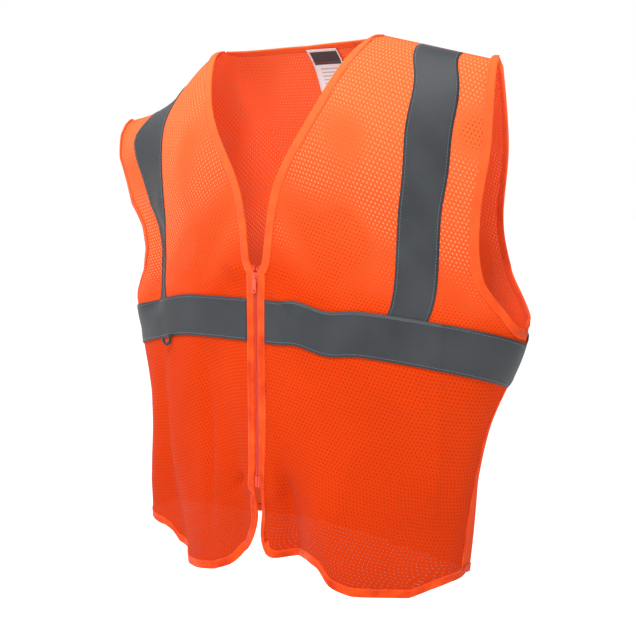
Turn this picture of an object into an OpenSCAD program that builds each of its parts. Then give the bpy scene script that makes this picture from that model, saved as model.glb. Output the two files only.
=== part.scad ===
// Hi-vis mesh work vest: V neck, zip front, reflective belt and shoulder tapes.
// Worn shape, empty. +Z up, the front faces -Y, the wearer's left is +X.
// Origin: middle of the shoulders at neck height, where the vest hangs from.
// Every cloth part is a thin closed solid that follows the worn surface.

/* [Body shape] */
// Neck point to hem at the sides
vest_length = 632; // [600:1:680]
// Half width of the body just under the arms
chest_half_w = 290; // [275:1:300]
// Half width at the waist
waist_half_w = 246; // [235:1:260]
// Half width at the hem
hem_half_w = 216; // [205:1:235]
// Front bulge from the side seam line
front_depth = 108; // [100:1:115]
// Back bulge from the side seam line
back_depth = 88; // [75:1:100]
// How far the side seams sit behind the shoulder line
side_set_back = 27; // [15:1:35]
// Height over which the shoulders round off
arch_r = 180; // [150:1:200]
// Fall of the shoulder line, mm per mm
shoulder_slope = 0.26; // [0.2:0.01:0.32]
// Half width of the neck at the shoulder line
neck_half_w = 117; // [110:1:122]
// Half width over the shoulder tips
shoulder_half_w = 262; // [255:1:266]
// Depth of the V below the neck point
v_depth = 264; // [240:1:275]
// How hollow the V edge is, 1 is straight
v_hollow = 1.7; // [1.4:0.1:2]
// Depth of the back neck
back_neck_drop = 6; // [4:1:12]
// Bottom of the armholes
armhole_depth = 321; // [310:1:330]

/* [Cloth and tape] */
// Thickness of the mesh cloth
cloth_t = 1.0; // [0.8:0.1:1.2]
// Width of the folded edge binding
binding_w = 8; // [6:0.5:10]
// Thickness of the folded edge binding
binding_t = 2.4; // [2:0.1:3]
// Width of the reflective tape
tape_w = 50.8; // [45:0.1:52]
// Thickness of the reflective tape
tape_t = 0.6; // [0.5:0.1:0.8]
// Inner edge of the shoulder tapes
tape_x = 186; // [184:1:188]
// Top edge of the belt at the front middle
belt_z = -297; // [-302:1:-292]
// How far the belt falls towards the sides
belt_drop = 38; // [30:1:42]
// Radius of the lower front corners
corner_r = 56; // [50:1:60]
// Rise of the hem at the front middle
hem_rise = 20; // [10:1:26]

/* [Zip] */
// Length of the zip teeth
zip_len = 246; // [235:1:248]
// Half gap between the two front edges
edge_gap = 4; // [3.8:0.1:4.4]
// Pull hole radius
pull_hole_r = 1.4; // [1.2:0.1:1.6]
// Length of the pull tab
pull_len = 21; // [18:0.5:24]

/* [Hidden] */
$fn = 32;
mm_per_deg = 4.41;       // cloth mm for one degree round the body
gap = 0.3;               // clearance between neighbours
hem_z = -vest_length;
zip_top = -v_depth;
zip_bottom = zip_top - zip_len;
fold_top = [80, -80];    // where a front starts to fold open, x and z
fold_low_x = 184;        // where the fold meets the hem
lift_tape = cloth_t + 0.9;
lift_belt = lift_tape + tape_t + 0.7;
front_y = side_set_back - front_depth;

ORANGE = [1, 0.33, 0.07];
BINDING = [1, 0.37, 0.1];
SILVER = [0.36, 0.38, 0.39];
ZIP = [0.96, 0.3, 0.18];

// ---- worn surface ----

// Smooth curve through a table of [height, value], heights falling.
function seg(t, z, i = 0) = i >= len(t) - 2 || z >= t[i + 1][0] ? i : seg(t, z, i + 1);
function slope(t, i) = let (a = max(i - 1, 0), b = min(i + 1, len(t) - 1))
    (t[b][1] - t[a][1]) / (t[b][0] - t[a][0]);
function smooth(t, z) =
    let (c = max(min(z, t[0][0]), t[len(t) - 1][0]), i = seg(t, c),
         h = t[i + 1][0] - t[i][0], u = (c - t[i][0]) / h,
         m0 = slope(t, i) * h, m1 = slope(t, i + 1) * h)
    (2 * pow(u, 3) - 3 * u * u + 1) * t[i][1] + (pow(u, 3) - 2 * u * u + u) * m0
    + (3 * u * u - 2 * pow(u, 3)) * t[i + 1][1] + (pow(u, 3) - u * u) * m1;

width_table = [
    [0, shoulder_half_w + 4], [-100, shoulder_half_w + 8], [-200, shoulder_half_w + 10],
    [-armhole_depth, chest_half_w], [-440, waist_half_w], [-560, (waist_half_w + hem_half_w) / 2 - 6],
    [-640, hem_half_w]
];
function body_w(z) = smooth(width_table, z);
function depth_front(z) = z < zip_top ? front_depth
    : front_depth - 26 * pow((z - zip_top) / v_depth, 2);
function depth_back(z) = z < -200 ? back_depth
    : back_depth - 20 * pow(z / 200 + 1, 2);
function mid_y(z) = let (t = min(1, -z / 220)) side_set_back * t * t * (3 - 2 * t);
function shoulder_z(x) = -shoulder_slope * max(0, abs(x) - neck_half_w);

// Point of the surface: u is mm round the body, f is -1 for front, 1 for back.
function surf(u, z, f) =
    let (phi = u / mm_per_deg, x = body_w(z) * sin(phi),
         r = 1 - min(max(0, shoulder_z(x) - z) / arch_r, 1),
         d = f < 0 ? depth_front(z) : depth_back(z))
    [x, mid_y(z) + f * d * sqrt(1 - r * r) * cos(phi), z];
function to_u(x, z) = mm_per_deg * asin(min(1, x / body_w(z)));

// ---- edges of the pattern, as round-the-body mm at a height ----

function unit(v) = v / max(norm(v), 1e-9);
// Path moved sideways by d in the pattern plane.
function side_step(path, d) = [for (i = [0:len(path) - 1])
    let (a = path[max(i - 1, 0)], b = path[min(i + 1, len(path) - 1)], t = unit(b - a))
    path[i] + d * [-t[1], t[0]]];

function v_edge_x(z) = z < zip_top ? edge_gap
    : edge_gap + (neck_half_w - edge_gap) * pow((z + v_depth) / v_depth, v_hollow);
front_arm_table = [
    [-30, shoulder_half_w], [-120, shoulder_half_w - 2], [-200, shoulder_half_w - 10],
    [-262, shoulder_half_w - 3], [-300, chest_half_w - 10], [-armhole_depth, chest_half_w - 0.5]
];
back_arm_table = [
    [-30, shoulder_half_w], [-120, shoulder_half_w - 12], [-200, shoulder_half_w - 32],
    [-262, shoulder_half_w - 20], [-300, chest_half_w - 20], [-armhole_depth, chest_half_w - 0.5]
];
function arm_u(z, f) = z <= -armhole_depth ? 90 * mm_per_deg
    : to_u(smooth(f < 0 ? front_arm_table : back_arm_table, z), z);
function neck_z(x, w) = shoulder_z(x)
    - (back_neck_drop + w - neck_half_w) * pow(max(0, 1 - abs(x) / w), 0.5);
side_edge_u = 90 * mm_per_deg - 5;
arm_rows = concat([for (i = [0:9]) let (a = 8 + 82 * i / 9) -arch_r * (1 - cos(a))],
    [-205, -230, -255, -275, -292, -306, -armhole_depth]);
function arm_path(f) = [for (z = arm_rows)
    let (zz = z + shoulder_z(shoulder_half_w) * max(0, 1 + z / arch_r)) [arm_u(zz, f), zz]];
function arm_inner_u(z, f) = let (p = side_step(arm_path(f), -binding_w - 6 * gap))
    z < p[len(p) - 1][1] - 1 ? side_edge_u
        : min(side_edge_u, lookup(z, [for (v = p) [v[1], v[0]]]));
v_rows = concat([for (i = [0:8]) let (a = 2 + 58 * i / 8) -arch_r * (1 - cos(a))],
    [-110, -135, -165, -200, -235, zip_top]);
v_inner = side_step([for (z = v_rows) [to_u(v_edge_x(z), z), z]], binding_w + 2 * gap);
function v_inner_u(z) = lookup(z, [for (v = v_inner) [v[1], v[0]]]);
function hem_at(u) = hem_z + hem_rise * pow(cos(min(abs(u) / mm_per_deg, 90)), 4);
function fold_x(z) = fold_top[0]
    + (fold_low_x - fold_top[0]) * (fold_top[1] - z) / (fold_top[1] - hem_z);
function belt_top(u) = belt_z - belt_drop * (1 - cos(u / mm_per_deg));

// Rows from the shoulder down to z_end: close together on the rounded top.
function arch_rows(n) = [for (i = [0:n]) let (a = 2 + 88 * i / n) -arch_r * (1 - cos(a))];

// ---- solids ----

function grid_normal(g, i, j) =
    let (n = len(g) - 1, m = len(g[0]) - 1,
         du = g[i][min(j + 1, m)] - g[i][max(j - 1, 0)],
         dv = g[min(i + 1, n)][j] - g[max(i - 1, 0)][j])
    unit(cross(dv, du));

// Closed solid between two offsets of a grid of points.
module slab(g, lo, hi, flip = false) {
    s = flip ? -1 : 1;
    n = len(g);
    m = len(g[0]);
    both = [
        for (side = [lo, hi]) for (i = [0:n - 1]) for (j = [0:m - 1])
            g[i][j] + s * side * grid_normal(g, i, j)
    ];
    k = n * m;
    function at(i, j, top) = i * m + j + (top ? k : 0);
    top = [for (i = [0:n - 2]) for (j = [0:m - 2]) for (t = [0, 1])
        t == 0 ? [at(i, j, true), at(i + 1, j, true), at(i + 1, j + 1, true)]
               : [at(i, j, true), at(i + 1, j + 1, true), at(i, j + 1, true)]];
    low = [for (f = top) [f[2] - k, f[1] - k, f[0] - k]];
    rim = concat([for (j = [0:m - 1]) [0, j]], [for (i = [1:n - 1]) [i, m - 1]],
        [for (j = [m - 2:-1:0]) [n - 1, j]], [for (i = [n - 2:-1:1]) [i, 0]]);
    c = len(rim);
    edge = [for (q = [0:c - 1]) for (t = [0, 1]) let (a = rim[q], b = rim[(q + 1) % c])
        t == 0 ? [at(a[0], a[1], false), at(a[0], a[1], true), at(b[0], b[1], true)]
               : [at(a[0], a[1], false), at(b[0], b[1], true), at(b[0], b[1], false)]];
    faces = concat(top, low, edge);
    polyhedron(both, flip ? [for (f = faces) [f[2], f[1], f[0]]] : faces);
}

// Strip of surface between two edge paths of [u, z]; f is the face.
module strip(path_a, path_b, f, lo, hi, cols = 1) {
    g = [for (i = [0:len(path_a) - 1]) [for (j = [0:cols])
        let (p = path_a[i] + (path_b[i] - path_a[i]) * j / cols) surf(p[0], p[1], f)]];
    slab(g, lo, hi, flip = f > 0);
}

module both_sides(side) {
    if (side > 0)
        children();
    else
        mirror([1, 0, 0]) children();
}

// ---- panels ----

// Left half outline of a front, rows from top to hem.
function front_rows() = concat(arch_rows(9),
    [for (i = [1:3]) -arch_r - (v_depth - arch_r) * i / 3],
    [-280, -294, -305, -314, -armhole_depth, -345, -370, -400, -435, -470, -zip_len - v_depth, -540, -570]);

function front_edge_u(z, inset) =
    let (c = hem_z + hem_rise + corner_r, low = max(0, c - z), r = corner_r - inset)
    z > zip_top ? v_inner_u(z)
    : z > c ? to_u(v_edge_x(z), z) + inset
    : to_u(edge_gap + corner_r - sqrt(max(0, r * r - low * low)), z) + gap;

module front_panel(side) {
    inset = binding_w + 1;
    c = hem_z + hem_rise + corner_r;
    rows = concat([for (z = front_rows()) if (z < fold_top[1] - 14 && z > c + 3) z],
        [for (a = [0:18:72]) c - (corner_r - inset) * sin(a)], [-1000]);
    top = fold_top[1] - 8;
    all_rows = concat([top], rows);
    cols = 12;
    g = [for (z = all_rows) [for (j = [0:cols])
        let (last = z < -999, flat = last ? c - corner_r + inset : z,
             a = last ? to_u(edge_gap + corner_r, flat) : front_edge_u(flat, inset),
             b0 = to_u(fold_x(flat), flat) - gap, foot = hem_at(a + (b0 - a) * j / cols) + inset,
             zz = flat < c ? c + (flat - c) * (c - foot) / (corner_r - inset) : flat,
             b = to_u(fold_x(zz), zz) - gap)
        surf(a + (b - a) * j / cols, zz, -1)]];
    both_sides(side) slab(g, 0, cloth_t);
}

module side_panel(side) {
    inset = binding_w + gap;
    rows = concat([for (z = front_rows()) z], [hem_z + 35, hem_z + inset]);
    cols = 10;
    // The top part reaches the V edge; below the fold it starts at the fold.
    g = [for (i = [0:len(rows) - 1]) [for (j = [0:cols])
        let (z = rows[i],
             a0 = z > fold_top[1] ? v_inner_u(z) : to_u(fold_x(z), z) + gap,
             b = arm_inner_u(z + shoulder_z(shoulder_half_w) * max(0, 1 + z / arch_r), -1),
             u0 = a0 + (b - a0) * j / cols,
             x = body_w(z) * sin(u0 / mm_per_deg),
             fall = shoulder_z(x) * max(0, 1 + z / arch_r),
             foot = i == len(rows) - 1 ? hem_at(u0) + inset - z : 0,
             zz = z + fall + foot,
             a = z > fold_top[1] ? a0 : to_u(fold_x(zz), zz) + gap)
        surf(a + (b - a) * j / cols, zz, -1)]];
    both_sides(side) slab(g, 0, cloth_t);
}

module back_panel() color(ORANGE) {
    inset = binding_w + gap;
    rows = concat(arch_rows(9), [for (z = [-205, -235, -262, -280, -294, -305, -314, -armhole_depth, -345,
        -370, -400, -435, -470, -510, -540, -570]) z], [hem_z + 35, hem_z + inset]);
    cols = 15;
    g = [for (z = rows) [for (j = [-cols:cols])
        let (b = arm_inner_u(z + shoulder_z(shoulder_half_w) * max(0, 1 + z / arch_r), 1),
             u = b * j / cols,
             x = body_w(z) * sin(u / mm_per_deg),
             t = max(0, 1 + z / arch_r),
             cut = abs(x) < neck_half_w + inset ? 1 : 0,
             fall = (neck_z(x, neck_half_w + inset + 1) - cut) * t)
        surf(u, z + fall, 1)]];
    slab(g, 0, cloth_t, flip = true);
}
module left_front_panel() color(ORANGE) front_panel(1);
module right_front_panel() color(ORANGE) front_panel(-1);
module left_side_panel() color(ORANGE) side_panel(1);
module right_side_panel() color(ORANGE) side_panel(-1);

// ---- seams ----

module shoulder_seam(side) {
    r = 0.6;
    x0 = neck_half_w + binding_w + 2;
    run = shoulder_half_w - binding_w - 6 - x0;
    both_sides(side)
        translate([x0, 0, shoulder_z(x0) + cloth_t + r + 0.4])
            rotate([0, 90 + atan(shoulder_slope), 0])
                cylinder(r = r, h = run / cos(atan(shoulder_slope)));
}
module left_shoulder_seam() color(ORANGE) shoulder_seam(1);
module right_shoulder_seam() color(ORANGE) shoulder_seam(-1);

module side_seam(side) {
    z0 = -armhole_depth - binding_w - 2;
    z1 = hem_z + binding_w + gap;
    n = 18;
    half = 0.8;
    g = [for (i = [0:n]) let (z = z0 + (z1 - z0) * i / n)
        [for (d = [-half, half]) [body_w(z), mid_y(z) + d, z]]];
    both_sides(side) slab(g, -1, 1);
}
module left_side_seam() color(ORANGE) side_seam(1);
module right_side_seam() color(ORANGE) side_seam(-1);

// ---- reflective tape ----

module shoulder_tape(side, f) {
    foot = -292;
    rows = concat([for (i = [0:10]) let (a = 12 + 78 * i / 10) -arch_r * (1 - cos(a))],
        [-205, -235, -264, foot]);
    cols = 3;
    g = [for (z = rows) [for (j = [0:cols])
        let (x = tape_x - 0.03 * z - 0.0004 * z * z - 15 * exp(-z * z / 900)
                 + (tape_w - 7.8 * min(1, -z / 130)) * j / cols,
             zz = z + shoulder_z(x) * max(0, 1 + z / arch_r),
             low = z == foot ? belt_top(to_u(x, z)) + 2 : zz)
        surf(to_u(x, min(zz, 0)), low, f)]];
    both_sides(side) slab(g, lift_tape, lift_tape + tape_t, flip = f > 0);
}
module left_front_tape() color(SILVER) shoulder_tape(1, -1);
module right_front_tape() color(SILVER) shoulder_tape(-1, -1);
module left_back_tape() color(SILVER) shoulder_tape(1, 1);
module right_back_tape() color(SILVER) shoulder_tape(-1, 1);

// Belt pieces: the front one ends at the zip edge and at the fold.
function belt_split(z) = to_u(fold_x(z), z);
module front_belt(side) {
    g = [for (i = [0:3]) [for (j = [0:12])
        let (z0 = belt_z - 10 - tape_w * i / 3, u1 = belt_split(z0) - gap,
             u0 = to_u(edge_gap + binding_w + 2, z0), u = u0 + (u1 - u0) * j / 12)
        surf(u, belt_top(u) - tape_w * i / 3, -1)]];
    both_sides(side) slab(g, lift_belt, lift_belt + tape_t);
}
module side_belt(side) {
    g = [for (i = [0:3]) [for (j = [0:14])
        let (z0 = belt_z - 10 - tape_w * i / 3, u0 = belt_split(z0) + gap,
             u1 = 90 * mm_per_deg - 2, u = u0 + (u1 - u0) * j / 14)
        surf(u, belt_top(u) - tape_w * i / 3, -1)]];
    both_sides(side) slab(g, lift_belt, lift_belt + tape_t);
}
module left_belt() color(SILVER) front_belt(1);
module right_belt() color(SILVER) front_belt(-1);
module left_side_belt() color(SILVER) side_belt(1);
module right_side_belt() color(SILVER) side_belt(-1);
module back_belt() color(SILVER) {
    g = [for (i = [0:3]) [for (j = [-28:28]) let (u = (90 * mm_per_deg - 2) * j / 28)
        surf(u, belt_top(u) - tape_w * i / 3, 1)]];
    slab(g, lift_belt, lift_belt + tape_t, flip = true);
}

// ---- bindings ----

bind_lo = (cloth_t - binding_t) / 2;
bind_hi = (cloth_t + binding_t) / 2;

function neck_path(w) = [for (i = [-16:16])
    let (x = w * sin(90 * i / 16)) [to_u(x, 0), neck_z(x, w) - 0.4]];

// V edge above the fold, over the shoulder to the back neck.
module neck_binding() color(BINDING) {
    v_path = concat([for (i = [0:12]) let (a = 3 + 52 * i / 12, z = -arch_r * (1 - cos(a)))
        if (z > fold_top[1] + 1) [to_u(v_edge_x(z), z), z]],
        [[to_u(v_edge_x(fold_top[1]), fold_top[1]), fold_top[1]]]);
    for (side = [1, -1])
        both_sides(side) {
            strip(v_path, side_step(v_path, binding_w), -1, bind_lo, bind_hi);
            bridge = [for (y = [-6, 6]) [for (x = [0, binding_w])
                [neck_half_w + x, y, shoulder_z(neck_half_w + x) - 0.6]]];
            slab(bridge, 0, 1.6, flip = true);
        }
    strip(neck_path(neck_half_w + binding_w), neck_path(neck_half_w), 1, bind_lo, bind_hi);
}
// V edge below the fold, the zip edge, the round corner and the front hem.
function front_outline() =
    let (c = hem_z + hem_rise + corner_r, z0 = fold_top[1] - 1)
    concat(
        [for (i = [0:9]) let (z = z0 + (zip_top - z0) * i / 9) [to_u(v_edge_x(z), z), z]],
        [for (i = [1:8]) let (z = zip_top + (c - zip_top) * i / 8) [to_u(edge_gap, z), z]],
        [for (a = [15:15:75]) let (z = c - corner_r * sin(a))
            [to_u(edge_gap + corner_r * (1 - cos(a)), z), z]],
        [for (i = [0:8]) let (u0 = to_u(edge_gap + corner_r, hem_z), u1 = to_u(fold_low_x, hem_z) - gap,
             u = u0 + (u1 - u0) * i / 8) [u, hem_at(u)]]);
module front_binding(side) {
    p = front_outline();
    both_sides(side) strip(p, side_step(p, binding_w), -1, bind_lo, bind_hi);
}
module left_front_binding() color(BINDING) front_binding(1);
module right_front_binding() color(BINDING) front_binding(-1);

module hem_binding(side) {
    u0 = to_u(fold_low_x, hem_z) + gap;
    u1 = side_edge_u;
    p = [for (i = [0:8]) let (u = u0 + (u1 - u0) * i / 8) [u, hem_at(u)]];
    q = [for (v = p) [v[0], v[1] + binding_w]];
    both_sides(side) strip(p, q, -1, bind_lo, bind_hi);
}
module left_hem_binding() color(BINDING) hem_binding(1);
module right_hem_binding() color(BINDING) hem_binding(-1);
module back_hem_binding() color(BINDING) {
    p = [for (i = [-22:22]) [side_edge_u * i / 22, hem_z]];
    q = [for (v = p) [v[0], v[1] + binding_w]];
    strip(q, p, 1, bind_lo, bind_hi);
}

module armhole_binding(side) {
    both_sides(side) for (f = [-1, 1]) {
        p = [for (v = arm_path(f)) [min(v[0], side_edge_u + 3), v[1]]];
        strip(side_step(arm_path(f), -binding_w), p, f, bind_lo, bind_hi);
    }
}
module left_armhole_binding() color(BINDING) armhole_binding(1);
module right_armhole_binding() color(BINDING) armhole_binding(-1);

// ---- zip ----

coil_w = 2.8;
coil_t = 2.4;
coil_y = front_y + 0.4;
slider_len = 12;
slider_w = 7.4;
slider_top = zip_top - 2;
box_len = 14;

module bar_z(x0, x1, y, t, z0, z1, r) {
    translate([0, 0, z0]) linear_extrude(z1 - z0)
        translate([(x0 + x1) / 2, y]) {
            square([x1 - x0 - 2 * r, t], center = true);
            for (s = [-1, 1]) translate([s * ((x1 - x0) / 2 - r), 0]) scale([r / (t / 2), 1]) circle(t / 2);
        }
}
module zip_tape(side) {
    both_sides(side)
        translate([coil_w + 1.4, front_y + 2.2, zip_bottom - box_len])
            cube([11, 0.6, zip_len + box_len]);
}
module left_zip_tape() color(ZIP) zip_tape(1);
module right_zip_tape() color(ZIP) zip_tape(-1);

// One side of the zip: a spine with a tooth every few millimetres.
module zip_coil(side, top) {
    pitch = 4;
    low = zip_bottom;
    both_sides(side) {
        bar_z(0.9, coil_w, coil_y, coil_t * 0.7, low, top, 0.5);
        for (z = [low + 1:pitch:top - 3])
            translate([0.5, coil_y - coil_t / 2, z + (side > 0 ? 0 : pitch / 2)])
                cube([1.3, coil_t, 1.4]);
    }
}
module left_zip_coil() color(ZIP) zip_coil(1, slider_top + 2);
module right_zip_coil() color(ZIP) zip_coil(-1, slider_top - slider_len - 0.6);

module top_stop(side) {
    both_sides(side)
        translate([1.2, front_y - 1.4, slider_top + 2.6]) cube([2.2, 3, 3.2]);
}
module left_top_stop() color(ZIP) top_stop(1);
module right_top_stop() color(ZIP) top_stop(-1);

module insertion_pin() color(ZIP)
    bar_z(0.3, 3.2, coil_y, 2.6, zip_bottom - box_len, zip_bottom - 0.4, 0.8);
module retainer_box() color(ZIP)
    bar_z(-3.7, -0.3, coil_y, 3.2, zip_bottom - box_len, zip_bottom - 0.4, 0.8);

// Slider: front and back plates joined by a wedge, side lips, and a bridge on the front.
plate_t = 0.9;
throat = coil_t + 0.8;
pin_r = 0.7;
module slider_plate(y) {
    translate([0, y, 0]) rotate([90, 0, 0]) linear_extrude(plate_t, center = true)
        polygon([[-2.9, 0], [2.9, 0], [slider_w / 2, 3], [slider_w / 2, 9.5],
            [2.8, slider_len], [-2.8, slider_len], [-slider_w / 2, 9.5], [-slider_w / 2, 3]]);
}
bridge_y = coil_y - throat / 2 - plate_t;
pivot_y = bridge_y - 1.6;
pivot_z = slider_top - 4.4;
module slider() color(ZIP) {
    front = coil_y - throat / 2 - plate_t / 2;
    back = coil_y + throat / 2 + plate_t / 2;
    translate([0, 0, slider_top - slider_len]) {
        slider_plate(front);
        slider_plate(back);
        translate([-0.25, front, slider_len - 2.4]) cube([0.5, back - front, 2.4]);
        for (s = [-1, 1])
            translate([s * (slider_w / 2 - 0.3) - 0.3, front, 3.2]) cube([0.6, throat * 0.3, 6]);
    }
    // Two cheeks carry the pivot pin of the pull.
    for (s = [-1, 1])
        translate([s * 2.2 - 0.5, pivot_y - 1.1, pivot_z - 1.6]) cube([1, bridge_y - pivot_y + 1.3, 3.2]);
    translate([0, pivot_y, pivot_z]) rotate([0, 90, 0]) cylinder(r = pin_r, h = 4.6, center = true);
}
pull_t = 1.2;
pull_w = 5.6;
hole_z = pivot_z - pull_len + 4.4;
module pull_tab() color(ZIP)
    difference() {
        union() {
            translate([0, pivot_y, pivot_z]) rotate([0, 90, 0])
                cylinder(r = 1.3, h = 2.6, center = true);
            translate([-1.3, pivot_y - pull_t / 2, pivot_z - 3.4]) cube([2.6, pull_t, 3.4]);
            translate([0, pivot_y, 0]) rotate([90, 0, 0]) linear_extrude(pull_t, center = true)
                translate([0, hole_z]) {
                    circle(pull_w / 2);
                    translate([-pull_w / 2, 0]) square([pull_w, pivot_z - 2.8 - hole_z]);
                }
        }
        translate([0, pivot_y, pivot_z]) rotate([0, 90, 0])
            cylinder(r = pin_r + 0.25, h = 8, center = true);
        translate([0, pivot_y, hole_z]) rotate([90, 0, 0])
            cylinder(r = pull_hole_r, h = 8, center = true);
    }

// ---- label and side loop ----

label_w = 46;
label_h = 62;
label_x = -5;
module neck_label() color([0.93, 0.94, 0.94]) {
    top = -back_neck_drop - binding_w - 3;
    g = [for (i = [0:4]) [for (j = [0:3]) let (x = label_x + label_w * j / 3,
        z = top - label_h * i / 4) surf(to_u(x, z), z, 1)]];
    slab(g, 1.4, 1.9);
}

// Small hanging loop just under the belt on the wearer's right.
loop_x = -158;
module side_loop() color([0.05, 0.05, 0.05]) {
    z = belt_top(to_u(-loop_x, -360)) - tape_w - 7;
    p = surf(to_u(loop_x, z), z, -1);
    translate(p + [-5, -6, 0]) rotate([0, 0, 40]) difference() {
        translate([0, 1.3, 0]) rotate([90, 0, 0]) linear_extrude(2.6)
            difference() {
                circle(6.4);
                circle(4.4);
            }
        translate([-8, -8, 1]) cube([8, 16, 8]);
    }
}

back_panel();
left_front_panel();
right_front_panel();
left_side_panel();
right_side_panel();
left_shoulder_seam();
right_shoulder_seam();
left_side_seam();
right_side_seam();
left_front_tape();
right_front_tape();
left_back_tape();
right_back_tape();
left_belt();
right_belt();
left_side_belt();
right_side_belt();
back_belt();
neck_binding();
left_front_binding();
right_front_binding();
left_armhole_binding();
right_armhole_binding();
left_hem_binding();
right_hem_binding();
back_hem_binding();
left_zip_tape();
right_zip_tape();
left_zip_coil();
right_zip_coil();
left_top_stop();
right_top_stop();
insertion_pin();
retainer_box();
slider();
pull_tab();
neck_label();
side_loop();
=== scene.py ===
import bpy
import math
import numpy as np
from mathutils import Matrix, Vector


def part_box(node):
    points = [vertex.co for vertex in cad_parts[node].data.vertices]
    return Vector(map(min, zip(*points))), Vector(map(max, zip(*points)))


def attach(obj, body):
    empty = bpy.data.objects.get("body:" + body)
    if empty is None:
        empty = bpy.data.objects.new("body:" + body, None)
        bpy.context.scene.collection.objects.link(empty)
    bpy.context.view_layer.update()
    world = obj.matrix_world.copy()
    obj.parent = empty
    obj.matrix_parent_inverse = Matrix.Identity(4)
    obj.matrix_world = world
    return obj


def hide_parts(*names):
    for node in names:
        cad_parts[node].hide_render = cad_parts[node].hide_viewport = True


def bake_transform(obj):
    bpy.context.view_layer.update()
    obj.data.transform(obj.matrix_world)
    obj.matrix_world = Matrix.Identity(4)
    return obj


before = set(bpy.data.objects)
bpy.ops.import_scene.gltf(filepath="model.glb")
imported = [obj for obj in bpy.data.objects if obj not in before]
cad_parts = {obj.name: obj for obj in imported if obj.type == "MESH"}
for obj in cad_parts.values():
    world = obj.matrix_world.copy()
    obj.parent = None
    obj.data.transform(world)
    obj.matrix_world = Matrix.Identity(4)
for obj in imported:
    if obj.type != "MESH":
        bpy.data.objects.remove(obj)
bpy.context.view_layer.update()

# ---------------------------------------------------------------- sizes, mm
DEG = 4.41                 # cloth mm for one degree round the body
LENGTH = 632.0
NECK, SHOULDER, CHEST, WAIST, HEM = 117.0, 262.0, 290.0, 246.0, 216.0
FRONT, BACK, SET_BACK = 108.0, 88.0, 27.0
ARCH, SLOPE = 180.0, 0.26
V_DEPTH, V_HOLLOW, GAP = 264.0, 1.7, 4.0
V_FLARE = 10.0             # how far the V hangs open
BACK_NECK = 6.0
ARMHOLE = 321.0
TAPE_X, TAPE_W = 186.0, 50.8
BELT_Z, BELT_DROP = -297.0, 38.0
CORNER, HEM_RISE = 56.0, 20.0
CORNER_Z = -LENGTH + HEM_RISE + CORNER     # where the round corner begins
ZIP_LEN, ZIP_PITCH = 246.0, 2.0
BIND_W = 10.0
SKIN = 0.5                 # where the cloth lies, out from the base surface
ZIP_Y = SET_BACK - FRONT
LABEL_W, LABEL_LEN, LABEL_SEWN = 45.0, 62.0, 16.6
LABEL_TOP, LABEL_FOLD = -8.2, -21.8        # heights of the seam and the fold
LABEL_FALL = 0.82          # height lost for one mm of label
QUARTER = 90 * DEG         # from the middle of the front to the side seam
SIDES = ((1, "left"), (-1, "right"))


def ramp(a, b, t):
    t = np.clip((t - a) / (b - a), 0, 1)
    return t * t * (3 - 2 * t)


def bell(t, centre, width):
    return np.exp(-((t - centre) / width) ** 2)


def smooth(table, z):
    """Smooth curve through rows of (height, value), heights falling."""
    t = np.array(table, float)
    z = np.clip(z, t[-1, 0], t[0, 0])
    n = len(t)
    out = np.zeros_like(z)
    lo, hi = np.maximum(np.arange(n) - 1, 0), np.minimum(np.arange(n) + 1, n - 1)
    slope = (t[hi, 1] - t[lo, 1]) / (t[hi, 0] - t[lo, 0])
    for i in range(n - 1):
        h = t[i + 1, 0] - t[i, 0]
        u = (z - t[i, 0]) / h
        v = (2 * u**3 - 3 * u * u + 1) * t[i, 1] + (u**3 - 2 * u * u + u) * slope[i] * h
        v = v + (3 * u * u - 2 * u**3) * t[i + 1, 1] + (u**3 - u * u) * slope[i + 1] * h
        out = np.where((z <= t[i, 0]) & (z >= t[i + 1, 0]), v, out)
    return out


WIDTHS = [(0, SHOULDER + 4), (-100, SHOULDER + 8), (-200, SHOULDER + 10), (-ARMHOLE, CHEST),
          (-440, WAIST), (-560, (WAIST + HEM) / 2 - 6), (-640, HEM)]


def body_w(z):
    return smooth(WIDTHS, z)


def mid_y(z):
    t = np.minimum(1, -z / 220)
    return SET_BACK * t * t * (3 - 2 * t)


def shoulder_z(x):
    return -SLOPE * np.maximum(0, np.abs(x) - NECK)


def to_u(x, z):
    x = np.asarray(x, float)
    return DEG * np.degrees(np.arcsin(np.clip(x / body_w(np.asarray(z, float) + 0 * x), -1, 1)))


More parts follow.
